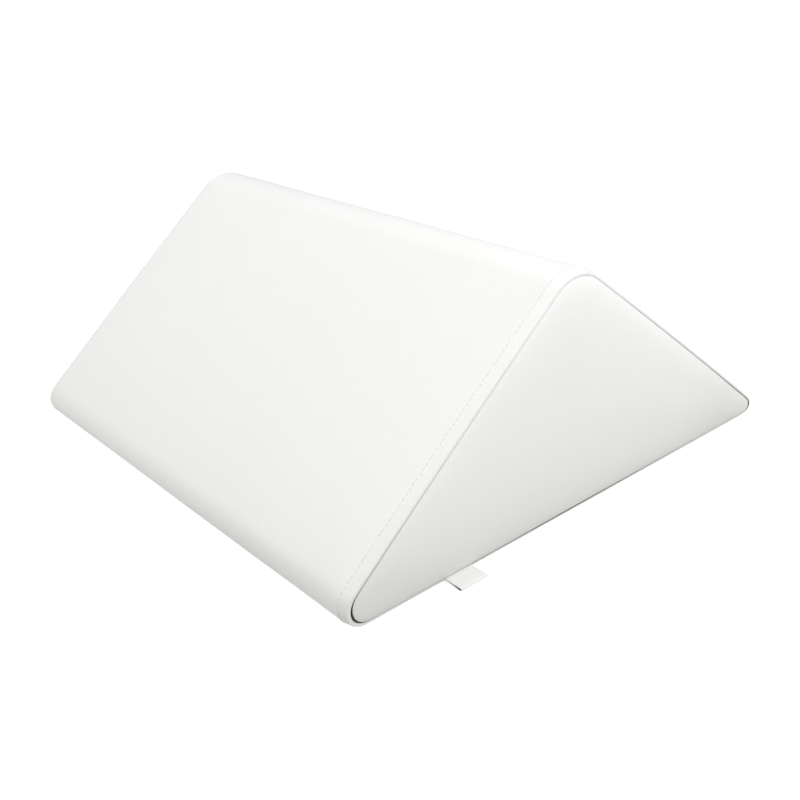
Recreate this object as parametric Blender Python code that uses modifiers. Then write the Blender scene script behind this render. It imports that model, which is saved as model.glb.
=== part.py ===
"""Wedge pillow: a filled triangular cushion, two set-in end panels and a folded side label."""
import math
from collections import namedtuple

import bmesh
import bpy
from mathutils import Vector

Corner = namedtuple("Corner", "y z radius start stop steps")

# Cushion, in metres
LENGTH = 0.4672
SHARP_BASE = 0.500
SHARP_HEIGHT = 0.202
FRONT_RADIUS = 0.0171
REAR_RADIUS = 0.0103
TOP_RADIUS = 0.0371
RUN_STEPS = 12
SHARP_FOLD = math.radians(40)

# Crown of the two slopes, at an end seam and in the middle of the cushion
SEAM_CROWN = 0.0008
BODY_CROWN = 0.0030
CROWN_RUN = 0.120

# Rolled lip of the wrap panel and the seam inside it
LIP_RADIUS = 0.0034
LIP_STEPS = 5
SEAM_INSET = 0.0039
SEAM_ROUND = 0.0005
GAP = 0.0003
SEAT_GAP = 0.00036

# Channel that the topstitch pulls down: distance in from the end seam, depth
CHANNEL = (
    (0.0047, 0.0000),
    (0.0060, 0.0002),
    (0.0069, 0.0006),
    (0.0078, 0.0009),
    (0.0087, 0.0006),
    (0.0100, 0.0002),
    (0.0120, 0.0000),
)
BODY_STATIONS = (0.020, 0.032, 0.050, 0.080, 0.120, 0.175)

# End panels
PANEL_THICKNESS = 0.0016
PANEL_INSET = SEAM_INSET + GAP
PANEL_SINK = 0.0006
PANEL_RISE = 0.0066
EDGE_PART = 0.62
EDGE_RUN = 0.0080
RIM_ROUND = 0.0005
PANEL_RINGS = (0.030, 0.065, 0.110, 0.170, 0.270, 0.420, 0.620, 0.850)

# Folded side label
LABEL_WIDTH = 0.0245
LABEL_MIDDLE = -0.1256
LABEL_PLY = 0.0008
FOLD_STEPS = 6
# Distance out from the end seam, height of the fold's middle, half the distance between the plies
LABEL_RUN = (
    (0.0003, 0.00530, 0.00044),
    (0.0020, 0.00505, 0.00044),
    (0.0045, 0.00435, 0.00048),
    (0.0075, 0.00340, 0.00054),
    (0.0105, 0.00260, 0.00062),
    (0.0135, 0.00205, 0.00068),
    (0.0160, 0.00180, 0.00070),
)

# The sharp triangle's middle lies this far from the middle of the rounded base
HALF_CORNER = math.atan2(SHARP_HEIGHT, SHARP_BASE / 2) / 2
REACH = 1 / math.tan(HALF_CORNER) - 1
MIDDLE = (REAR_RADIUS - FRONT_RADIUS) * REACH / 2
SIDE = math.hypot(SHARP_BASE / 2, SHARP_HEIGHT)
INNER_RADIUS = SHARP_BASE * SHARP_HEIGHT / (SHARP_BASE + 2 * SIDE)
SEAM_X = LENGTH / 2

# Directions that the base, the rear slope and the front slope face, seen from the labelled end
DOWN = -math.pi / 2
BACK = math.atan2(SHARP_BASE / 2, SHARP_HEIGHT)
FORTH = math.pi - BACK
CORNERS = (
    Corner(MIDDLE - SHARP_BASE / 2, 0, FRONT_RADIUS, FORTH, DOWN + 2 * math.pi, 14),
    Corner(MIDDLE + SHARP_BASE / 2, 0, REAR_RADIUS, DOWN, BACK, 11),
    Corner(MIDDLE, SHARP_HEIGHT, TOP_RADIUS, BACK, FORTH, 12),
)

WHITE_HIDE = ("white synthetic leather", (0.83, 0.83, 0.82, 1), 0.42)
WHITE_TAPE = ("white woven tape", (0.85, 0.85, 0.84, 1), 0.75)


def clear_scene():
    """Removes the objects that the scene starts with."""
    for item in list(bpy.data.objects):
        bpy.data.objects.remove(item, do_unlink=True)


def material(name, colour, roughness):
    """A plain material with the given colour and roughness."""
    made = bpy.data.materials.new(name)
    made.use_nodes = True
    shader = made.node_tree.nodes["Principled BSDF"]
    shader.inputs["Base Color"].default_value = colour
    shader.inputs["Roughness"].default_value = roughness
    shader.inputs["Metallic"].default_value = 0
    made.diffuse_color = colour
    return made


def round_point(corner, turn, inset):
    """Point of a corner's arc where the cloth faces the given direction, some way inside the cloth."""
    share = 1 - corner.radius / INNER_RADIUS
    centre_y = MIDDLE + (corner.y - MIDDLE) * share
    centre_z = INNER_RADIUS + (corner.z - INNER_RADIUS) * share
    reach = corner.radius - inset
    return centre_y + reach * math.cos(turn), centre_z + reach * math.sin(turn)


def section(x, inset, crown):
    """Points round the triangle at one place along the cushion; its slopes bow out by the crown."""
    points = []
    for corner, following in zip(CORNERS, CORNERS[1:] + CORNERS[:1]):
        for step in range(corner.steps + 1):
            turn = corner.start + (corner.stop - corner.start) * step / corner.steps
            points.append(Vector((x, *round_point(corner, turn, inset))))
        run_start = points[-1]
        run_stop = Vector((x, *round_point(following, following.start, inset)))
        faces = Vector((0, math.cos(corner.stop), math.sin(corner.stop)))
        bow = 0 if corner is CORNERS[0] else crown
        for step in range(1, RUN_STEPS):
            share = step / RUN_STEPS
            points.append(run_start.lerp(run_stop, share) + faces * bow * 4 * share * (1 - share))
    return points


def crown_at(distance):
    """Crown of the slopes at a distance in from the end seam."""
    share = min(distance / CROWN_RUN, 1)
    return SEAM_CROWN + (BODY_CROWN - SEAM_CROWN) * math.sin(share * math.pi / 2)


def panel_rise(share):
    """How far the end panel stands out of the seam's plane, from its edge (0) to its middle (1)."""
    distance = share * (INNER_RADIUS - PANEL_INSET)
    quick = 1 - math.exp(-distance / EDGE_RUN)
    slow = 1 - (1 - share) ** 2
    return PANEL_RISE * (EDGE_PART * quick + (1 - EDGE_PART) * slow) - PANEL_SINK


def panel_rings(side, depth):
    """Rings of a crowned end from the panel's edge towards its middle, and the middle point."""
    middle = Vector((0, MIDDLE, INNER_RADIUS))
    edge = section(0, PANEL_INSET, SEAM_CROWN)
    rings = []
    for share in PANEL_RINGS:
        out = Vector((side * (SEAM_X + panel_rise(share) - depth), 0, 0))
        rings.append([point.lerp(middle, share) + out for point in edge])
    return rings, middle + Vector((side * (SEAM_X + panel_rise(1) - depth), 0, 0))


def drawn_piece(name, sections, first_tip, last_tip, look):
    """Closed piece: a face extruded through each section in turn, with both ends pulled to a point."""
    mesh = bmesh.new()
    ring = [mesh.verts.new(point) for point in sections[0]]
    first_face = mesh.faces.new(ring)
    face = first_face
    for points in sections[1:]:
        order = {vert.co.to_tuple(): place for place, vert in enumerate(ring)}
        made = bmesh.ops.extrude_face_region(mesh, geom=[face])["geom"]
        if face is not first_face:
            mesh.faces.remove(face)
        face = next(item for item in made if isinstance(item, bmesh.types.BMFace))
        ring = sorted(face.verts, key=lambda vert: order[vert.co.to_tuple()])
        for vert, point in zip(ring, points):
            vert.co = point
    for end, tip in ((first_face, first_tip), (face, last_tip)):
        bmesh.ops.poke(mesh, faces=[end])["verts"][0].co = tip
    return finished(name, mesh, look)


def finished(name, mesh, look):
    """Turns a mesh into a named object with smooth faces, outward normals and its material."""
    bmesh.ops.recalc_face_normals(mesh, faces=mesh.faces)
    data = bpy.data.meshes.new(name)
    mesh.to_mesh(data)
    mesh.free()
    data.shade_smooth()
    data.set_sharp_from_angle(angle=SHARP_FOLD)
    data.materials.append(look)
    item = bpy.data.objects.new(name, data)
    PARTS.objects.link(item)
    return item


def lip_sections():
    """Places from the seat behind an end panel, over the wrap's lip, to the middle of the cushion."""
    seat = -PANEL_SINK - PANEL_THICKNESS - SEAT_GAP
    places = [(seat, PANEL_INSET + RIM_ROUND), (seat, SEAM_INSET), (-SEAM_ROUND, SEAM_INSET)]
    for step in range(LIP_STEPS + 1):
        turn = math.pi / 2 * (1 - step / LIP_STEPS)
        places.append((-LIP_RADIUS * (1 - math.sin(turn)), LIP_RADIUS * (1 - math.cos(turn))))
    places += [(-distance, depth) for distance, depth in CHANNEL]
    places += [(-distance, 0) for distance in BODY_STATIONS]
    return places


def build_cushion(look):
    """The filled cushion with its crown, rolled lips, topstitch channels and seats for the end panels."""
    behind = PANEL_THICKNESS + SEAT_GAP
    half = []
    for side in (-1, 1):
        places = [section(side * (SEAM_X + out), inset, crown_at(-out)) for out, inset in lip_sections()]
        rings, tip = panel_rings(side, behind)
        half.append((list(reversed(rings)) + places, tip))
    sections = half[0][0] + [section(0, 0, BODY_CROWN)] + list(reversed(half[1][0]))
    return drawn_piece("filled_wedge", sections, half[0][1], half[1][1], look)


def build_panel(name, side, look):
    """One crowned end panel, a sheet whose edge stands in the seam."""
    outer, outer_tip = panel_rings(side, 0)
    inner, inner_tip = panel_rings(side, PANEL_THICKNESS)
    back = SEAM_X - PANEL_SINK - PANEL_THICKNESS
    front = SEAM_X - PANEL_SINK
    rim = [
        section(side * back, PANEL_INSET + RIM_ROUND, SEAM_CROWN),
        section(side * (back + RIM_ROUND), PANEL_INSET, SEAM_CROWN),
        section(side * (front - RIM_ROUND), PANEL_INSET, SEAM_CROWN),
        section(side * front, PANEL_INSET + RIM_ROUND, SEAM_CROWN),
    ]
    return drawn_piece(name, list(reversed(inner)) + rim + outer, inner_tip, outer_tip, look)


def build_label(look):
    """The tape folded in half: one strip run out along its upper ply, round the fold and back."""
    upper = [(out, height + half) for out, height, half in LABEL_RUN]
    lower = [(out, height - half) for out, height, half in LABEL_RUN]
    fold_out, fold_height, fold_half = LABEL_RUN[-1]
    fold = []
    for step in range(1, FOLD_STEPS):
        turn = math.pi / 2 - math.pi * step / FOLD_STEPS
        fold.append((fold_out + fold_half * math.cos(turn), fold_height + fold_half * math.sin(turn)))
    path = upper + fold + list(reversed(lower))
    mesh = bmesh.new()
    edge_y = LABEL_MIDDLE - LABEL_WIDTH / 2
    ring = [mesh.verts.new((SEAM_X + out, edge_y, height)) for out, height in path]
    edges = [mesh.edges.new(pair) for pair in zip(ring, ring[1:])]
    made = bmesh.ops.extrude_edge_only(mesh, edges=edges)["geom"]
    verts = [item for item in made if isinstance(item, bmesh.types.BMVert)]
    bmesh.ops.translate(mesh, verts=verts, vec=(0, LABEL_WIDTH, 0))
    item = finished("side_label", mesh, look)
    ply = item.modifiers.new("ply", "SOLIDIFY")
    ply.thickness = LABEL_PLY
    ply.offset = 0
    ply.use_even_offset = True
    return item


clear_scene()
PARTS = bpy.data.collections.new("wedge pillow")
bpy.context.scene.collection.children.link(PARTS)
hide = material(*WHITE_HIDE)
tape = material(*WHITE_TAPE)
build_cushion(hide)
build_panel("end_panel_labelled", 1, hide)
build_panel("end_panel_plain", -1, hide)
build_label(tape)
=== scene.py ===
"""Looks of the wedge pillow: white synthetic leather wrap, set-in end panels, topstitch and a tape label."""

import bisect
import math

import bpy
from mathutils import Matrix, Vector, noise


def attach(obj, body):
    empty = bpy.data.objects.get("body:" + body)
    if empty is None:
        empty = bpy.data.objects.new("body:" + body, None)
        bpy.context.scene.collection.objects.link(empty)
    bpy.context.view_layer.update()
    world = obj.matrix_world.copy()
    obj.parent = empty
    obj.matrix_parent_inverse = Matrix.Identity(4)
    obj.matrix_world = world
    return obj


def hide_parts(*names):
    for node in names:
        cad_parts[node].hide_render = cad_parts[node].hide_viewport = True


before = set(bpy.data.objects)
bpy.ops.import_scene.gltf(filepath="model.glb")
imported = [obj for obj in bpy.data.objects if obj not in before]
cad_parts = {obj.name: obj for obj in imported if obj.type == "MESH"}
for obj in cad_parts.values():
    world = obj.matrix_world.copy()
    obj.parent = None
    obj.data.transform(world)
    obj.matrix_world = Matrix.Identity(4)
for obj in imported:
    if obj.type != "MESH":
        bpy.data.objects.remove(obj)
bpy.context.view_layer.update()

# Wedge before its corners are rounded, in metres
LENGTH = 0.4672
SHARP_BASE = 0.500
SHARP_HEIGHT = 0.202
FRONT_RADIUS = 0.0171
REAR_RADIUS = 0.0103
TOP_RADIUS = 0.0371
SEAM_X = LENGTH / 2
BASE_ANGLE = math.atan2(SHARP_HEIGHT, SHARP_BASE / 2)
TOP_ANGLE = math.pi - 2 * BASE_ANGLE
MIDDLE = (REAR_RADIUS - FRONT_RADIUS) * (1 / math.tan(BASE_ANGLE / 2) - 1) / 2
SIDE = math.hypot(SHARP_BASE / 2, SHARP_HEIGHT)
INNER_RADIUS = SHARP_BASE * SHARP_HEIGHT / (SHARP_BASE + 2 * SIDE)
INCENTRE = Vector((0, MIDDLE, INNER_RADIUS))

# Tests: points in one place, a long edge, a face of many corners, a face square to an axis
NEAR = 0.0002
LONG = 0.1
MANY = 20
FACING = 0.99
TINY = 1e-9

# Cells of the cloth: along an arc, cuts across each flat run, along the cushion, and the first from each end
ARC_CELL = 0.0032
ARC_STEPS = 6
RUN_CUTS = 35
CELL = 0.012
FIRST_CELL = 0.024
SUBDIVISIONS = 1

# Filling: how far the slopes stand out at the end seams, and beyond that in the middle
SEAM_CROWN = 0.0008
CROWN = 0.0022
SWELL_FRAMES = 20
SWELL_PRESSURE = 4.0

# Unevenness of the cloth, and where in the noise each piece lies
UNEVEN = 0.00035
UNEVEN_REACH = 0.075
SEED_TILT = 0.7
CHANNEL_SEED = 3
PUCKER_SEED = 5
WRAP_SEED = 11
PANEL_SEED = 17
LABEL_SEED = 23

# Rim: the strip past the topstitch is drawn in and shifted, and stands out at the front corner
RIM_INSET = 0.00225
RIM_SHIFT = Vector((0, 0.00080, -0.00060))
FRONT_CORNER = Vector((0, -0.222, 0.012))
FRONT_OUT = Vector((0, -0.00151, -0.00053))
FRONT_REACH = 0.020

# Rolled lip at the end of the rim, and the seat behind the end panel
LIP_RADIUS = 0.0008
LIP_STEPS = 4
LIP_FACE = 0.00085
LIP_EDGE = 0.0002
LIP_LEAN = 0.00010
SEAM_SHIFT = Vector((0, 0.00087, -0.00102))
SEAM_ROUND = 0.0002
SEAT_DEPTH = 0.0032

# End panel: its edge inside the wedge's outline, its rise at the edge and in the middle, and its flat size
PANEL_INSET = 0.00394
PANEL_RISE = 0.0060
EDGE_PART = 0.62
EDGE_RUN = 0.0080
PANEL_THICKNESS = 0.0012
# Its first rings: distance in from the edge, and depth behind the seam's plane
PANEL_TUCK = ((0.0000, 0.0013), (0.00002, 0.0006), (0.00012, 0.00014), (0.0004, 0.0))
# Its other rings: share of the way to the middle
PANEL_SHARES = (0.02, 0.04, 0.065, 0.095, 0.13, 0.17, 0.22, 0.28, 0.35, 0.44, 0.54, 0.65, 0.77, 0.90)

# How much wider the seam gapes low down, less on the base itself, and towards the rear
GAPE_LOW = 0.00180
GAPE_BASE = 0.33
BASE_REACH = 0.010
GAPE_REAR = 0.00020
GAPE_REACH = 0.0008
# Corners that gape wider: place, reach and how much
GAPE_CORNERS = ((FRONT_CORNER, 0.030, 0.0003), (Vector((0, 0.198, 0.029)), 0.020, 0.0003))

# Painted shade in the seam: the strip past the topstitch, the lip's inner wall, and the panel's edge
STRIP_PAINTED_SHADE = 0.045
STRIP_FADE = 0.0015
WALL_RATE = 1.6
WALL_TURN = 0.35
EDGE_START = 0.0001
EDGE_FADE = 0.00035

# Topstitch: its channel, the rings of cloth across it, its puckers and the stitches
STITCH_LINE = 0.0077
CHANNEL_DEPTH = 0.00012
CHANNEL_WIDTH = 0.0012
CHANNEL_VARIES = 0.25
CHANNEL_RINGS = (-0.0030, -0.0020, -0.0013, -0.0006, 0,
                 0.0006, 0.0013, 0.0020, 0.0030, 0.0044, 0.0062, 0.0085)
PUCKER = 0.00010
PUCKER_LENGTH = 0.009
PUCKER_WIDTH = STITCH_LINE * 0.7
LIP_CLEAR = LIP_RADIUS * 0.7
END_FACING = 0.6
STITCH_PITCH = 0.0040
STITCH_LENGTH = 0.0030
STITCH_THICK = 0.00060
STITCH_LIFT = 0.00005
STITCH_SIDES = 8
STITCH_RINGS = 6
STITCH_TIP = 0.45
STITCH_DRAWN = 1.5

# Side label: its size, and its middle along the seam
LABEL_WIDTH = 0.0253
LABEL_MIDDLE = -0.1264
LABEL_PLY = 0.0005
LABEL_WAVE = 0.0003
# Distance out from the seam, height of the fold's middle, half the distance between the plies
LABEL_RUN = (
    (-0.0010, 0.00265, 0.00027),
    (0.0008, 0.00268, 0.00027),
    (0.0026, 0.00266, 0.00027),
    (0.0050, 0.00252, 0.00028),
    (0.0078, 0.00236, 0.00038),
    (0.0106, 0.00211, 0.00060),
    (0.0134, 0.00192, 0.00082),
    (0.0157, 0.00182, 0.00088),
)
LABEL_FOLD_STEPS = 6
LABEL_CUTS = 19
# Tests for the inner sides of the tape: at the fold, near the fold's middle, and on a ply
FOLD_FACING = 0.3
PLY_REACH = 0.002
PLY_FACING = 0.5

# Hide: sizes of its pebbles, fine grain, creases and clouds, and their shares of relief and tone
PEBBLE_SIZE = 0.0016
PEBBLE_SMOOTH = 0.4
FINE_SIZE = 0.0009
CREASE_SIZE = 0.014
CREASE_WANDER = 1.5
CLOUD_SIZE = 0.09
PEBBLE_HEIGHT = 0.6
FINE_HEIGHT = 0.25
CREASE_HEIGHT = 0.8
HIDE_BUMP = 0.35
HIDE_RELIEF = 0.0003
CLOUD_TONE = 0.5
CREASE_TONE = 0.25
PEBBLE_TONE = 0.25
HIDE_DARK = (0.80, 0.80, 0.79, 1)
HIDE_LIGHT = (0.87, 0.87, 0.865, 1)
HIDE_ROUGH = 0.42
HIDE_ROUGH_VARIES = 0.12
HIDE_GLOSS = 0.4

# Painted shade on the hide: darker low down, at the foot and at the end panels' corners
HIDE_PAINTED_SHADE = (0.700, 0.695, 0.670, 1)
PAINTED_SHADE_LOW = 0.37
PAINTED_SHADE_CLOUDS = 0.3
PAINTED_SHADE_FOOT = 0.40
PAINTED_SHADE_CORNER = 0.50
CORNER_SHADE_REACH = 0.055

# Needle dimples: distances from the line and along a stitch between which they fade, and their painted
# shade, deeper low down
DIMPLE_ACROSS = (0.0008, 0.0001)
DIMPLE_ALONG = (0.45, 0.95)
DIMPLE_SHADE = 0.05
DIMPLE_SHADE_LOW = 0.14
SEAM_SHADE = (0.10, 0.098, 0.094, 1)

# Tape: pitches of its ribs and rows, and the length of a wave texture's turn
RIB_PITCH = 0.0006
ROW_PITCH = 0.0004
WAVE_TURN = 6.283
WAVE_WAVER = 0.4
TAPE_BUMP = 0.5
TAPE_RELIEF = 0.0001
TAPE_ROUGH = 0.7
TAPE_DARK = (0.78, 0.78, 0.775, 1)
TAPE_LIGHT = (0.92, 0.92, 0.915, 1)

# Thread
TWIST_SIZE = 0.0005
THREAD_BUMP = 0.4
THREAD_RELIEF = 0.0001
THREAD_ROUGH = 0.6
THREAD_DARK = (0.72, 0.72, 0.71, 1)
THREAD_LIGHT = (0.86, 0.86, 0.85, 1)

# Stage
WHITE = (1, 1, 1, 1)
FLOOR_COLOUR = (0.86, 0.86, 0.86, 1)
FLOOR_SIZE = 30
FLOOR_ROUGH = 0.9
FLOOR_GLOW = 0.50
WALL_RADIUS = 14
WALL_RINGS = 24
WALL_GLOW = 0.86

# Light: even surround, what the sky above adds to it, and the lamps with place, size and power
SURROUND = 0.53
SKY = 0.193
LAMP_AIM = Vector((0, 0, 0.1))
LAMPS = (
    ((2.0, 0.0, 1.2), 1.0, 13.15),
    ((1.0, 0.7, 1.2), 1.0, 6.8),
    ((-0.5, -1.2, 1.1), 1.0, 9.3),
    ((0.6, 0.0, 0.8), 0.35, 0.61),
)

# Camera: its place, how it is turned, and its focal length in pixels of the frame
CAMERA_PLACE = Vector((0.6909, MIDDLE - 0.5234, 0.4292))
CAMERA_YAW = math.radians(51.68)
CAMERA_PITCH = math.radians(25.56)
CAMERA_ROLL = math.radians(-3.76)
SENSOR = 36.0
FRAME_WIDTH = 800
FOCAL_PIXELS = 1053.0


class Value:
    """A socket that can be used in sums: each expression adds the Math nodes that it needs."""

    def __init__(self, finish, socket):
        self.finish = finish
        self.socket = socket

    def sum(self, operation, *parts):
        return self.finish.sum(operation, *parts)

    def __add__(self, other):
        return self.sum("ADD", self, other)

    __radd__ = __add__

    def __sub__(self, other):
        return self.sum("SUBTRACT", self, other)

    def __rsub__(self, other):
        return self.sum("SUBTRACT", other, self)

    def __mul__(self, other):
        return self.sum("MULTIPLY", self, other)

    __rmul__ = __mul__


class Finish:
    """A material or surround under way: one method adds every node."""

    def __init__(self, holder, shader="Principled BSDF"):
        self.holder = holder
        holder.use_nodes = True
        self.tree = holder.node_tree
        self.shader = self.tree.nodes[shader]

    def node(self, kind, settings, sockets, out=0):
        """Adds a node, with its settings first, and gives back one of its outputs."""
        made = self.tree.nodes.new(kind)
        for name, setting in settings.items():
            setattr(made, name, setting)
        for name, given in sockets.items():
            self.set(made.inputs[name], given)
        return Value(self, made.outputs[out])

    def sum(self, operation, *parts):
        """A Math node of values and numbers."""
        return self.node("ShaderNodeMath", {"operation": operation}, dict(enumerate(parts)))

    def blend(self, share, first, second):
        """A colour between two others."""
        return self.node("ShaderNodeMix", {"data_type": "RGBA"}, {0: share, 6: first, 7: second}, 2)

    def fade(self, value, start, stop):
        """A share that goes smoothly from 0 to 1 as the value goes from start to stop."""
        return self.node("ShaderNodeMapRange", {"interpolation_type": "SMOOTHSTEP"},
                         {"Value": value, "From Min": start, "From Max": stop, "To Min": 0.0, "To Max": 1.0})

    def stored(self, name):
        """A number stored on the piece's points."""
        return self.node("ShaderNodeAttribute", {"attribute_name": name}, {}, "Fac")

    def set(self, socket, given):
        """Links a value to a socket, or sets a number or colour on it."""
        if isinstance(given, Value):
            self.tree.links.new(given.socket, socket)
        else:
            socket.default_value = given

    def shade(self, **sockets):
        """Sets the shader's own sockets."""
        for name, given in sockets.items():
            self.set(self.shader.inputs[name.replace("_", " ")], given)


def deselect():
    """Leaves nothing selected."""
    for item in bpy.context.selected_objects:
        item.select_set(False)


def only(item):
    """Selects one object alone and makes it active."""
    deselect()
    item.select_set(True)
    bpy.context.view_layer.objects.active = item


def pick(item, mode, test):
    """Opens edit mode with just the vertices, edges or faces selected that pass the test."""
    only(item)
    bpy.ops.object.mode_set(mode="EDIT")
    bpy.ops.mesh.select_mode(type=mode)
    bpy.ops.mesh.select_all(action="DESELECT")
    leave()
    mesh = item.data
    kinds = {"VERT": mesh.vertices, "EDGE": mesh.edges, "FACE": mesh.polygons}
    for element in kinds[mode]:
        element.select = test(mesh, element)
    bpy.ops.object.mode_set(mode="EDIT")


def leave():
    """Goes back to object mode."""
    bpy.ops.object.mode_set(mode="OBJECT")


def everything(mesh, element):
    """Test that picks all of a mesh."""
    return True


def edge_ends(mesh, edge):
    """The places of an edge's two ends."""
    return mesh.vertices[edge.vertices[0]].co, mesh.vertices[edge.vertices[1]].co


def end_cap(side):
    """Test for the wrap's many-cornered end face at one end."""
    return lambda mesh, face: face.normal.x * side > FACING and len(face.vertices) > MANY


def name_piece(item, name):
    """Gives a piece and its mesh one name."""
    item.name = name
    item.data.name = name


def settle_origin(item):
    """Puts the object's origin at the world's and its place in its mesh."""
    only(item)
    bpy.ops.object.transform_apply(location=True, rotation=True, scale=True)


def smooth_out(item):
    """One more subdivision, applied, and smooth shading."""
    only(item)
    bpy.ops.object.modifier_add(type="SUBSURF")
    finer = item.modifiers[-1]
    finer.levels = SUBDIVISIONS
    finer.render_levels = SUBDIVISIONS
    bpy.ops.object.modifier_apply(modifier=finer.name)
    bpy.ops.object.shade_smooth()


def thicken(item, thickness, offset, even):
    """Gives an open sheet its thickness."""
    only(item)
    bpy.ops.object.modifier_add(type="SOLIDIFY")
    wall = item.modifiers[-1]
    wall.thickness = thickness
    wall.offset = offset
    wall.use_even_offset = even
    bpy.ops.object.modifier_apply(modifier=wall.name)


def mark(item, name, share_of):
    """Stores a share on each point of a piece, from its place and the way it faces."""
    marks = item.data.attributes.new(name, "FLOAT", "POINT")
    marks.data.foreach_set("value", [share_of(vert.co, normal.vector)
                                     for vert, normal in zip(item.data.vertices, item.data.vertex_normals)])


def bell(distance, width):
    """1 at no distance, falling to nothing past the width."""
    return math.exp(-(distance / width) ** 2)


def ripple(place, reach, seed):
    """Soft unevenness from -1 to 1 over the given reach."""
    return noise.noise(place / reach + Vector((seed, seed * SEED_TILT, -seed)))


def away(place, corner):
    """Distance from a corner, seen along the wedge."""
    return math.hypot(place.y - corner.y, place.z - corner.z)


def find_step(stops, value):
    """The step of a rising list that a value falls in, and its share of the way along that step."""
    step = min(max(bisect.bisect_right(stops, value) - 1, 0), len(stops) - 2)
    return step, (value - stops[step]) / max(stops[step + 1] - stops[step], TINY)


def corner_places(inset):
    """The sharp triangle's corners, moved in by the inset: front, rear and top."""
    share = 1 - inset / INNER_RADIUS
    places = ((MIDDLE - SHARP_BASE / 2, 0), (MIDDLE + SHARP_BASE / 2, 0), (MIDDLE, SHARP_HEIGHT))
    return [INCENTRE.lerp(Vector((0, y, z)), share) for y, z in places]


def arc_profile(angle):
    """Bevel profile whose arc comes nearest a circle between two faces at this angle."""
    half = angle / 2
    depth = (1 - math.sin(half)) / math.cos(half)
    return (1 - depth / (2 * math.cos(half))) ** 2


def rounded_prism(name, inset, start, stop):
    """A box drawn up into a prism along X, its long edges rounded and its flat runs cut into cells."""
    front, rear, top = corner_places(inset)
    height = top.z - front.z
    deselect()
    bpy.ops.mesh.primitive_cube_add(size=1, location=((start + stop) / 2, MIDDLE, front.z + height / 2))
    item = bpy.context.object
    name_piece(item, name)
    item.scale = (stop - start, rear.y - front.y, height)
    settle_origin(item)
    pick(item, "FACE", lambda mesh, face: face.normal.z > FACING)
    bpy.ops.transform.resize(value=(1, 0, 1), center_override=(0, MIDDLE, top.z))
    bpy.ops.mesh.select_all(action="SELECT")
    bpy.ops.mesh.remove_doubles(threshold=NEAR / 2)
    bpy.ops.mesh.normals_make_consistent(inside=False)
    leave()
    round_edge(item, front, FRONT_RADIUS - inset, BASE_ANGLE)
    round_edge(item, rear, REAR_RADIUS - inset, BASE_ANGLE)
    round_edge(item, top, TOP_RADIUS - inset, TOP_ANGLE)
    pick(item, "EDGE", is_run)
    bpy.ops.mesh.subdivide(number_cuts=RUN_CUTS, ngon=False)
    leave()
    bow_slopes(item, inset)
    return item


def round_edge(item, place, radius, angle):
    """Bevels the long edge at a corner to a radius."""
    pick(item, "EDGE", lambda mesh, edge: all(away(end, place) < NEAR for end in edge_ends(mesh, edge)))
    steps = max(ARC_STEPS, round(radius * (math.pi - angle) / ARC_CELL))
    bpy.ops.mesh.bevel(offset=radius / math.tan(angle / 2), segments=steps, profile=arc_profile(angle),
                       affect="EDGES")
    leave()


def is_run(mesh, edge):
    """True for the straight edges across the base and up the slopes."""
    start, stop = edge_ends(mesh, edge)
    return abs(start.x - stop.x) < NEAR and (start - stop).length > LONG


def slope_normal(side):
    """The way that the front (-1) or rear (1) slope faces."""
    return Vector((0, side * math.sin(BASE_ANGLE), math.cos(BASE_ANGLE)))


def slope_share(place, side, inset, reach):
    """Where a point lies up a slope, 0 to 1 between its arcs; None past them or off it by over the reach."""
    corner = corner_places(inset)[0 if side < 0 else 1]
    radius = (FRONT_RADIUS if side < 0 else REAR_RADIUS) - inset
    if abs((place - corner).dot(slope_normal(side))) > reach:
        return None
    start = radius / math.tan(BASE_ANGLE / 2)
    stop = SIDE * (1 - inset / INNER_RADIUS) - (TOP_RADIUS - inset) / math.tan(TOP_ANGLE / 2)
    share = (away(place, corner) - start) / (stop - start)
    return share if 0 < share < 1 else None


def bow_slopes(item, inset):
    """Bows both slopes out a little between their arcs."""
    for vert in item.data.vertices:
        for side in (-1, 1):
            share = slope_share(vert.co, side, inset, NEAR / 4)
            if share is not None:
                vert.co += slope_normal(side) * SEAM_CROWN * 4 * share * (1 - share)
                break


def cut_across(item, places):
    """Cuts a ring round the piece at each place along X."""
    only(item)
    bpy.ops.object.mode_set(mode="EDIT")
    for place in places:
        bpy.ops.mesh.select_all(action="SELECT")
        bpy.ops.mesh.bisect(plane_co=(place, 0, 0), plane_no=(1, 0, 0))
    leave()


def is_free(place):
    """True for cloth on a slope, clear of the end seams."""
    if abs(place.x) > SEAM_X - STITCH_LINE - NEAR:
        return False
    return any(slope_share(place, side, 0, SEAM_CROWN + NEAR) is not None for side in (-1, 1))


def swell(item):
    """Fills the wrap: the cloth is blown out by simulation, and its move is scaled to the crown."""
    before = [vert.co.copy() for vert in item.data.vertices]
    held = item.vertex_groups.new(name="held")
    fixed = [vert.index for vert in item.data.vertices if not is_free(vert.co)]
    held.add(fixed, 1.0, "REPLACE")
    only(item)
    bpy.ops.object.modifier_add(type="CLOTH")
    cloth = item.modifiers[-1]
    settings = cloth.settings
    settings.vertex_group_mass = "held"
    settings.use_pressure = True
    settings.uniform_pressure_force = SWELL_PRESSURE
    settings.effector_weights.gravity = 0
    for number in range(1, SWELL_FRAMES + 1):
        bpy.context.scene.frame_set(number)
    bpy.ops.object.modifier_apply(modifier=cloth.name)
    bpy.context.scene.frame_set(1)
    item.vertex_groups.clear()
    moves = [vert.co - start for vert, start in zip(item.data.vertices, before)]
    most = max(move.length for move in moves)
    for vert, start, move in zip(item.data.vertices, before, moves):
        vert.co = start + move * CROWN / max(most, NEAR)


def widen_front(item, amount):
    """Moves the selected rim out at the front corner, where the lip is wider, or back again."""
    for vert in item.data.vertices:
        if vert.select:
            vert.co += FRONT_OUT * amount * bell(away(vert.co, FRONT_CORNER), FRONT_REACH)


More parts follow.
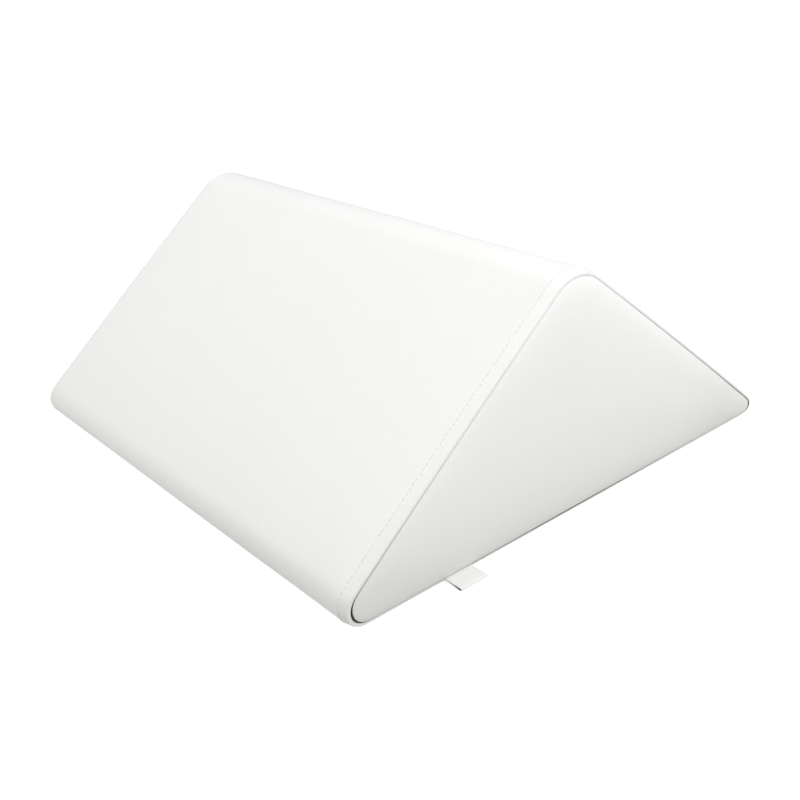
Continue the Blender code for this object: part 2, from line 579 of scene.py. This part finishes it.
def roll_lips(item):
    """Draws each end's rim in from the topstitch, rolls it into a lip and sinks the end panel's seat."""
    for side in (-1, 1):
        pick(item, "FACE", end_cap(side))
        bpy.ops.mesh.inset(thickness=RIM_INSET, depth=STITCH_LINE)
        bpy.ops.transform.translate(value=RIM_SHIFT)
        leave()
        widen_front(item, 1)
    pick(item, "EDGE", lambda mesh, edge: all(abs(end.x) > SEAM_X - NEAR for end in edge_ends(mesh, edge)))
    bpy.ops.mesh.bevel(offset=LIP_RADIUS, segments=LIP_STEPS, profile=0.5, affect="EDGES",
                       clamp_overlap=False)
    leave()
    for side in (-1, 1):
        pick(item, "FACE", end_cap(side))
        bpy.ops.mesh.inset(thickness=LIP_FACE - LIP_EDGE, depth=-LIP_LEAN)
        bpy.ops.transform.translate(value=SEAM_SHIFT - RIM_SHIFT)
        leave()
        widen_front(item, -1)
        bpy.ops.object.mode_set(mode="EDIT")
        bpy.ops.mesh.inset(thickness=LIP_EDGE)
        bpy.ops.mesh.inset(thickness=SEAM_ROUND, depth=-SEAM_ROUND)
        sink = -side * (SEAT_DEPTH - SEAM_ROUND)
        bpy.ops.mesh.extrude_region_move(TRANSFORM_OT_translate={"value": (sink, 0, 0)})
        bpy.ops.mesh.delete(type="FACE")
        leave()


def close_seats(item):
    """Closes the two flat seats behind the end panels."""
    for side in (-1, 1):
        seat = side * (SEAM_X - SEAT_DEPTH)
        pick(item, "EDGE", lambda mesh, edge: all(abs(end.x - seat) < NEAR for end in edge_ends(mesh, edge)))
        bpy.ops.mesh.edge_face_add()
        leave()


def sew_channels(item):
    """Pulls the topstitch channels down beside the end seams and leaves the cloth a little uneven."""
    normals = [normal.vector.copy() for normal in item.data.vertex_normals]
    for vert, faces in zip(item.data.vertices, normals):
        from_seam = SEAM_X - abs(vert.co.x)
        if from_seam < LIP_CLEAR or abs(faces.x) > END_FACING:
            continue
        from_line = from_seam - STITCH_LINE
        pull = -CHANNEL_DEPTH * bell(from_line, CHANNEL_WIDTH)
        pull *= 1 + CHANNEL_VARIES * ripple(vert.co, PUCKER_LENGTH, CHANNEL_SEED)
        pucker = bell(from_line, PUCKER_WIDTH) * PUCKER * ripple(vert.co, PUCKER_LENGTH, PUCKER_SEED)
        broad = UNEVEN * ripple(vert.co, UNEVEN_REACH, WRAP_SEED) * min(1, from_seam / UNEVEN_REACH)
        loose = 0 if vert.co.z < NEAR else pucker + broad
        vert.co += faces * (pull + loose)
        vert.co.z = max(vert.co.z, 0)


def lip_depth(place, faces):
    """Share of painted shade on the wrap in the end seam: a little on the strip past the topstitch, full on
    its wall inside the lip, which faces the wedge's middle.
    """
    if abs(place.x) < SEAM_X - STITCH_LINE:
        return 0.0
    out = ((place - INCENTRE) * Vector((0, 1, 1))).normalized()
    beyond_stitch = min(1, max(0, (abs(place.x) - SEAM_X + STITCH_LINE) / STRIP_FADE))
    return min(1, max(STRIP_PAINTED_SHADE * beyond_stitch, -WALL_RATE * (faces.dot(out) + WALL_TURN)))


def make_wrap():
    """The wrap: a filled wedge with a rolled lip and a topstitch channel at each end."""
    item = rounded_prism("wrap", 0, STITCH_LINE - SEAM_X, SEAM_X - STITCH_LINE)
    run = LENGTH - 2 * FIRST_CELL
    cells = round(run / CELL)
    cut_across(item, [FIRST_CELL - SEAM_X + run * cell / cells for cell in range(cells + 1)])
    swell(item)
    roll_lips(item)
    rings = [STITCH_LINE + step for step in CHANNEL_RINGS]
    cut_across(item, [side * (SEAM_X - ring) for side in (-1, 1) for ring in rings])
    smooth_out(item)
    close_seats(item)
    sew_channels(item)
    mark(item, "seam_painted_shade", lip_depth)
    measure_round(item)
    return item


def panel_rise(share):
    """How far the end panel stands out of the seam's plane, from its edge (0) to its middle (1)."""
    quick = 1 - math.exp(-share * (INNER_RADIUS - PANEL_INSET) / EDGE_RUN)
    slow = 1 - (1 - share) ** 2
    return PANEL_RISE * (EDGE_PART * quick + (1 - EDGE_PART) * slow)


def gape(place):
    """How much wider the seam stands open here."""
    low = max(0, 1 - place.z / SHARP_HEIGHT)
    rear = max(0, place.y - MIDDLE) / (SHARP_BASE / 2)
    wide = GAPE_LOW * low ** 3 + GAPE_REAR * rear
    wide *= 1 - (1 - GAPE_BASE) * bell(place.z, BASE_REACH)
    for corner, reach, more in GAPE_CORNERS:
        wide += more * bell(away(place, corner), reach)
    return wide


def edge_depth(place, faces):
    """Share of painted shade on an end panel in the end seam, by depth: its edge below the lip."""
    return min(1, max(0, (SEAM_X - EDGE_START - abs(place.x)) / EDGE_FADE))


def corner_share(place, faces):
    """How near a point of an end panel lies to the front or rear corner, 0 to 1: its share of the painted
    corner shade.
    """
    return max(bell(away(place, corner), CORNER_SHADE_REACH) for corner, reach, more in GAPE_CORNERS)


def make_panel(name, side):
    """A crowned end panel: a flat triangle drawn in ring by ring towards its middle."""
    face_x = side * (SEAM_X - PANEL_TUCK[0][1])
    back_x = face_x - side * CELL
    item = rounded_prism(name, PANEL_INSET, min(face_x, back_x), max(face_x, back_x))
    rings = [(inset / (INNER_RADIUS - PANEL_INSET), -tuck) for inset, tuck in PANEL_TUCK]
    rings += [(share, panel_rise(share)) for share in PANEL_SHARES]
    pick(item, "FACE", lambda mesh, face: face.normal.x * side > FACING)
    for (share, out), (next_share, next_out) in zip(rings, rings[1:]):
        shrink = (1 - next_share) / (1 - share)
        bpy.ops.mesh.extrude_region_move(TRANSFORM_OT_translate={"value": (side * (next_out - out), 0, 0)})
        bpy.ops.transform.resize(value=(1, shrink, shrink), center_override=INCENTRE)
    last = side * (panel_rise(1) - rings[-1][1])
    bpy.ops.mesh.extrude_region_move(TRANSFORM_OT_translate={"value": (last, 0, 0)})
    bpy.ops.mesh.merge(type="CENTER")
    leave()
    pick(item, "FACE", lambda mesh, face: face.center.x * side < face_x * side - NEAR / 4)
    bpy.ops.mesh.delete(type="FACE")
    leave()
    for vert in item.data.vertices:
        inside = min(1, (vert.co.x * side - SEAM_X) / PANEL_RISE)
        if inside > 0:
            vert.co.x += side * UNEVEN * inside * ripple(vert.co, UNEVEN_REACH, PANEL_SEED)
    smooth_out(item)
    for vert in item.data.vertices:
        out = max(0, vert.co.x * side - SEAM_X)
        inwards = (INCENTRE - vert.co) * Vector((0, 1, 1))
        vert.co += inwards.normalized() * gape(vert.co) * math.exp(-out / GAPE_REACH) + SEAM_SHIFT
    thicken(item, PANEL_THICKNESS, -1, False)
    mark(item, "seam_painted_shade", edge_depth)
    mark(item, "corner_painted_shade", corner_share)
    return item


def label_path():
    """The tape's run out along its upper ply, round the fold and back under: distance out and height."""
    upper = [(out, height + half) for out, height, half in LABEL_RUN]
    lower = [(out, height - half) for out, height, half in LABEL_RUN]
    fold_out, fold_height, fold_half = LABEL_RUN[-1]
    fold = []
    for step in range(1, LABEL_FOLD_STEPS):
        turn = math.pi / 2 - math.pi * step / LABEL_FOLD_STEPS
        fold.append((fold_out + fold_half * math.cos(turn), fold_height + fold_half * math.sin(turn)))
    return upper + fold + list(reversed(lower))


def fold_depth(place, faces):
    """1 on the inner sides of the tape's two plies, where painted shade goes, 0 on its outer sides."""
    runs = [out for out, height, half in LABEL_RUN]
    if place.x > SEAM_X + runs[-1]:
        return 1.0 if faces.x < -FOLD_FACING else 0.0
    step, share = find_step(runs, place.x - SEAM_X)
    middle = LABEL_RUN[step][1] + (LABEL_RUN[step + 1][1] - LABEL_RUN[step][1]) * share
    above = place.z - middle
    return 1.0 if abs(above) < PLY_REACH and above * faces.z < 0 and abs(faces.z) > PLY_FACING else 0.0


def make_label():
    """The tape: a short strip drawn out along its path."""
    path = label_path()
    deselect()
    bpy.ops.mesh.primitive_plane_add(size=1, location=(SEAM_X + path[0][0], LABEL_MIDDLE, path[0][1]))
    item = bpy.context.object
    name_piece(item, "tape_label")
    item.scale = (NEAR, LABEL_WIDTH, 1)
    settle_origin(item)
    pick(item, "VERT", everything)
    bpy.ops.mesh.remove_doubles(threshold=NEAR * 2)
    leave()
    pick(item, "EDGE", everything)
    bpy.ops.mesh.subdivide(number_cuts=LABEL_CUTS)
    for (out, height), (next_out, next_height) in zip(path, path[1:]):
        move = (next_out - out, 0, next_height - height)
        bpy.ops.mesh.extrude_region_move(TRANSFORM_OT_translate={"value": move})
    bpy.ops.mesh.select_all(action="SELECT")
    bpy.ops.mesh.normals_make_consistent(inside=False)
    leave()
    for vert in item.data.vertices:
        out = max(0, vert.co.x - SEAM_X) / LABEL_RUN[-1][0]
        vert.co.z += LABEL_WAVE * out * ripple(vert.co, LABEL_WIDTH, LABEL_SEED)
    thicken(item, LABEL_PLY, 0, True)
    smooth_out(item)
    mark(item, "fold_painted_shade", fold_depth)
    return item


def turn_of(place):
    """Direction from the wedge's middle line, once round from the middle of the base."""
    return math.atan2(place.y - INCENTRE.y, place.z - INCENTRE.z)


def stitch_ring(item, side):
    """The wrap's points along one topstitch line, in order round the wedge and back to the first."""
    line = side * (SEAM_X - STITCH_LINE)
    ring = [vert.co.copy() for vert in item.data.vertices if abs(vert.co.x - line) < NEAR]
    ring.sort(key=turn_of)
    return ring + ring[:1]


def measure_round(item):
    """Stores on each point of the wrap how many stitches lie before it, counted along the topstitch line."""
    ring = stitch_ring(item, 1)
    turns = [turn_of(place) for place in ring[:-1]] + [math.pi]
    walked = [0.0]
    for before, after in zip(ring, ring[1:]):
        walked.append(walked[-1] + (after - before).length)
    count = round(walked[-1] / STITCH_PITCH)
    places = []
    for vert in item.data.vertices:
        step, share = find_step(turns, turn_of(vert.co))
        length = walked[step] + (walked[step + 1] - walked[step]) * share
        places.append(length / walked[-1] * count)
    item.data.attributes.new("stitch_count", "FLOAT", "POINT").data.foreach_set("value", places)


def make_stitch():
    """One stitch along X: a blunt-ended bead of thread."""
    deselect()
    bpy.ops.mesh.primitive_uv_sphere_add(segments=STITCH_SIDES, ring_count=STITCH_RINGS, radius=0.5)
    stitch = bpy.context.object
    stitch.rotation_euler = (0, math.pi / 2, 0)
    settle_origin(stitch)
    pick(stitch, "VERT", lambda mesh, vert: abs(vert.co.x) < STITCH_TIP)
    bpy.ops.transform.resize(value=(STITCH_DRAWN, 1, 1), center_override=(0, 0, 0))
    leave()
    stitch.scale = (STITCH_LENGTH, STITCH_THICK, STITCH_THICK)
    settle_origin(stitch)
    return stitch


def lay_stitch(stitch, place, along):
    """A copy of the stitch, laid on the cloth along the topstitch line."""
    out = Vector((1, 0, 0)).cross(along).normalized()
    if out.dot(place - INCENTRE) < 0:
        out = -out
    turn = Matrix((along, out.cross(along), out)).transposed().to_4x4()
    copy = stitch.copy()
    copy.data = stitch.data.copy()
    copy.matrix_world = Matrix.Translation(place + out * STITCH_LIFT) @ turn
    bpy.context.scene.collection.objects.link(copy)
    return copy


def make_stitches(item, name, side):
    """One stitch, copied along the topstitch line and joined to one mesh."""
    stitch = make_stitch()
    ring = stitch_ring(item, side)
    lengths = [(after - before).length for before, after in zip(ring, ring[1:])]
    count = round(sum(lengths) / STITCH_PITCH)
    pitch = sum(lengths) / count
    copies = []
    step, walked = 0, 0.0
    for number in range(count):
        while walked + lengths[step] < number * pitch:
            walked += lengths[step]
            step += 1
        along = (ring[step + 1] - ring[step]).normalized()
        copies.append(lay_stitch(stitch, ring[step] + along * (number * pitch - walked), along))
    bpy.data.objects.remove(stitch, do_unlink=True)
    deselect()
    for copy in copies:
        copy.select_set(True)
    bpy.context.view_layer.objects.active = copies[0]
    bpy.ops.object.join()
    joined = bpy.context.object
    name_piece(joined, name)
    settle_origin(joined)
    bpy.ops.object.shade_smooth()
    return joined


def needle_dimples(finish, place):
    """1 where the needle went through, between two stitches on a topstitch line; 0 elsewhere."""
    along = finish.sum("PINGPONG", finish.stored("stitch_count"), 0.5) * 2
    across = finish.node("ShaderNodeSeparateXYZ", {}, {"Vector": place}, "X")
    from_line = finish.sum("ABSOLUTE", SEAM_X - STITCH_LINE - finish.sum("ABSOLUTE", across))
    return finish.fade(from_line, *DIMPLE_ACROSS) * finish.fade(along, *DIMPLE_ALONG)


def hide_finish():
    """White synthetic leather: fine pebbled grain, faint creases, satin sheen, painted shade low down, in
    the seams and in the needle holes.
    """
    finish = Finish(bpy.data.materials.new("white hide"))
    place = finish.node("ShaderNodeTexCoord", {}, {}, "Object")
    pebbles = finish.node("ShaderNodeTexVoronoi", {"feature": "SMOOTH_F1"},
                          {"Vector": place, "Scale": 1 / PEBBLE_SIZE, "Smoothness": PEBBLE_SMOOTH})
    fine = finish.node("ShaderNodeTexNoise", {}, {"Vector": place, "Scale": 1 / FINE_SIZE, "Detail": 2.0})
    creases = finish.node("ShaderNodeTexNoise", {}, {"Vector": place, "Scale": 1 / CREASE_SIZE,
                                                     "Detail": 4.0, "Distortion": CREASE_WANDER})
    clouds = finish.node("ShaderNodeTexNoise", {}, {"Vector": place, "Scale": 1 / CLOUD_SIZE, "Detail": 2.0})
    dimples = needle_dimples(finish, place)
    height = pebbles * PEBBLE_HEIGHT + fine * FINE_HEIGHT + creases * CREASE_HEIGHT - dimples
    bump = finish.node("ShaderNodeBump", {},
                       {"Height": height, "Strength": HIDE_BUMP, "Distance": HIDE_RELIEF})
    tone = clouds * CLOUD_TONE + creases * CREASE_TONE + pebbles * PEBBLE_TONE
    colour = finish.blend(tone, HIDE_DARK, HIDE_LIGHT)
    above_base = finish.node("ShaderNodeSeparateXYZ", {}, {"Vector": place}, "Z")
    low = finish.node("ShaderNodeMath", {"operation": "SUBTRACT", "use_clamp": True},
                      {0: 1.0, 1: above_base * (1 / SHARP_HEIGHT)})
    foot = low * low * low
    # Painted shade: the colour darkens towards the base, unevenly, most at the foot, and near the end
    # panels' corners
    painted_shade = low * (clouds * PAINTED_SHADE_CLOUDS + PAINTED_SHADE_LOW) + foot * foot * PAINTED_SHADE_FOOT
    with_painted_shade = finish.blend(painted_shade + finish.stored("corner_painted_shade") * PAINTED_SHADE_CORNER, colour, HIDE_PAINTED_SHADE)
    # Painted shade in the end seams: on the strip past the topstitch, the lip's inner wall and the panel's
    # edge below it
    seam_shaded = finish.blend(finish.stored("seam_painted_shade"), with_painted_shade, SEAM_SHADE)
    # Painted shade in the needle holes between stitches, deeper low down
    needle_shaded = finish.blend(dimples * (low * DIMPLE_SHADE_LOW + DIMPLE_SHADE), seam_shaded, SEAM_SHADE)
    finish.shade(Base_Color=needle_shaded, Roughness=creases * HIDE_ROUGH_VARIES + HIDE_ROUGH, Normal=bump,
                 Specular_IOR_Level=HIDE_GLOSS)
    return finish.holder


def tape_finish():
    """White woven tape with fine ribs across it, and painted shade between its two plies."""
    finish = Finish(bpy.data.materials.new("white tape"))
    place = finish.node("ShaderNodeTexCoord", {}, {}, "Object")
    ribs, rows = [
        finish.node("ShaderNodeTexWave", {"bands_direction": direction},
                    {"Vector": place, "Scale": 1 / pitch / WAVE_TURN, "Distortion": WAVE_WAVER})
        for direction, pitch in (("Y", RIB_PITCH), ("X", ROW_PITCH))]
    weave = ribs * rows
    bump = finish.node("ShaderNodeBump", {},
                       {"Height": weave, "Strength": TAPE_BUMP, "Distance": TAPE_RELIEF})
    colour = finish.blend(weave, TAPE_DARK, TAPE_LIGHT)
    # Painted shade on the inner sides of the two plies
    shaded = finish.blend(finish.stored("fold_painted_shade"), colour, SEAM_SHADE)
    finish.shade(Base_Color=shaded, Roughness=TAPE_ROUGH, Normal=bump)
    return finish.holder


def thread_finish():
    """White sewing thread with a slight twist in it."""
    finish = Finish(bpy.data.materials.new("white thread"))
    place = finish.node("ShaderNodeTexCoord", {}, {}, "Object")
    twist = finish.node("ShaderNodeTexNoise", {}, {"Vector": place, "Scale": 1 / TWIST_SIZE, "Detail": 1.0})
    bump = finish.node("ShaderNodeBump", {},
                       {"Height": twist, "Strength": THREAD_BUMP, "Distance": THREAD_RELIEF})
    finish.shade(Base_Color=finish.blend(twist, THREAD_DARK, THREAD_LIGHT), Roughness=THREAD_ROUGH,
                 Normal=bump)
    return finish.holder


def stage_finish(name, colour, roughness, glow):
    """Dull paint that glows a little, for the floor and the wall."""
    finish = Finish(bpy.data.materials.new(name))
    finish.shade(Base_Color=colour, Roughness=roughness, Specular_IOR_Level=0.0,
                 Emission_Color=WHITE, Emission_Strength=glow)
    return finish.holder


def dress(item, look):
    """Gives a piece its one material."""
    item.data.materials.clear()
    item.data.materials.append(look)


def make_floor():
    """A plain pale floor that throws no diffuse light on the cushion."""
    deselect()
    bpy.ops.mesh.primitive_plane_add(size=FLOOR_SIZE, location=(0, 0, 0))
    floor = bpy.context.object
    floor.name = "floor"
    dress(floor, stage_finish("pale floor", FLOOR_COLOUR, FLOOR_ROUGH, FLOOR_GLOW))
    floor.visible_diffuse = False


def make_wall():
    """A plain pale wall far round the floor. It neither lights the cushion nor keeps light off it."""
    deselect()
    bpy.ops.mesh.primitive_uv_sphere_add(segments=2 * WALL_RINGS, ring_count=WALL_RINGS, radius=WALL_RADIUS)
    wall = bpy.context.object
    wall.name = "studio_wall"
    dress(wall, stage_finish("white wall", WHITE, 1.0, WALL_GLOW))
    wall.visible_diffuse = False
    wall.visible_glossy = False
    wall.visible_transmission = False
    wall.visible_shadow = False


def light_studio():
    """Soft light from above, and an even pale surround."""
    surround = Finish(bpy.data.worlds.new("studio"), "Background")
    towards = surround.node("ShaderNodeTexCoord", {}, {}, "Generated")
    height = surround.node("ShaderNodeSeparateXYZ", {}, {"Vector": towards}, "Z")
    above = surround.sum("MAXIMUM", height, 0.0)
    surround.shade(Color=WHITE, Strength=above * SKY + SURROUND)
    bpy.context.scene.world = surround.holder
    for place, size, power in LAMPS:
        deselect()
        bpy.ops.object.light_add(type="AREA", location=place)
        lamp = bpy.context.object
        lamp.data.shape = "SQUARE"
        lamp.data.size = size
        lamp.data.energy = power
        lamp.rotation_euler = (LAMP_AIM - Vector(place)).to_track_quat("-Z", "Y").to_euler()


def place_camera():
    """The camera at the photograph's place, aim and focal length."""
    turn = Matrix.Rotation(CAMERA_YAW, 4, "Z") @ Matrix.Rotation(math.pi / 2 - CAMERA_PITCH, 4, "X")
    deselect()
    bpy.ops.object.camera_add(location=CAMERA_PLACE)
    camera = bpy.context.object
    camera.matrix_world = Matrix.Translation(CAMERA_PLACE) @ turn @ Matrix.Rotation(CAMERA_ROLL, 4, "Z")
    camera.data.sensor_width = SENSOR
    camera.data.lens = SENSOR * FOCAL_PIXELS / FRAME_WIDTH
    bpy.context.scene.camera = camera


place_camera()

wrap = make_wrap()
panels = [make_panel("end_panel_near", 1), make_panel("end_panel_far", -1)]
label = make_label()
stitches = [make_stitches(wrap, "topstitch_near", 1), make_stitches(wrap, "topstitch_far", -1)]

hide = hide_finish()
for item in [wrap] + panels:
    dress(item, hide)
    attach(item, "root")
dress(label, tape_finish())
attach(label, "root")
thread = thread_finish()
for item in stitches:
    dress(item, thread)
    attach(item, "root")

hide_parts("filled_wedge")
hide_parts("end_panel_labelled")
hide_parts("end_panel_plain")
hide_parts("side_label")

make_floor()
make_wall()
light_studio()
bpy.context.scene.view_settings.view_transform = "Standard"
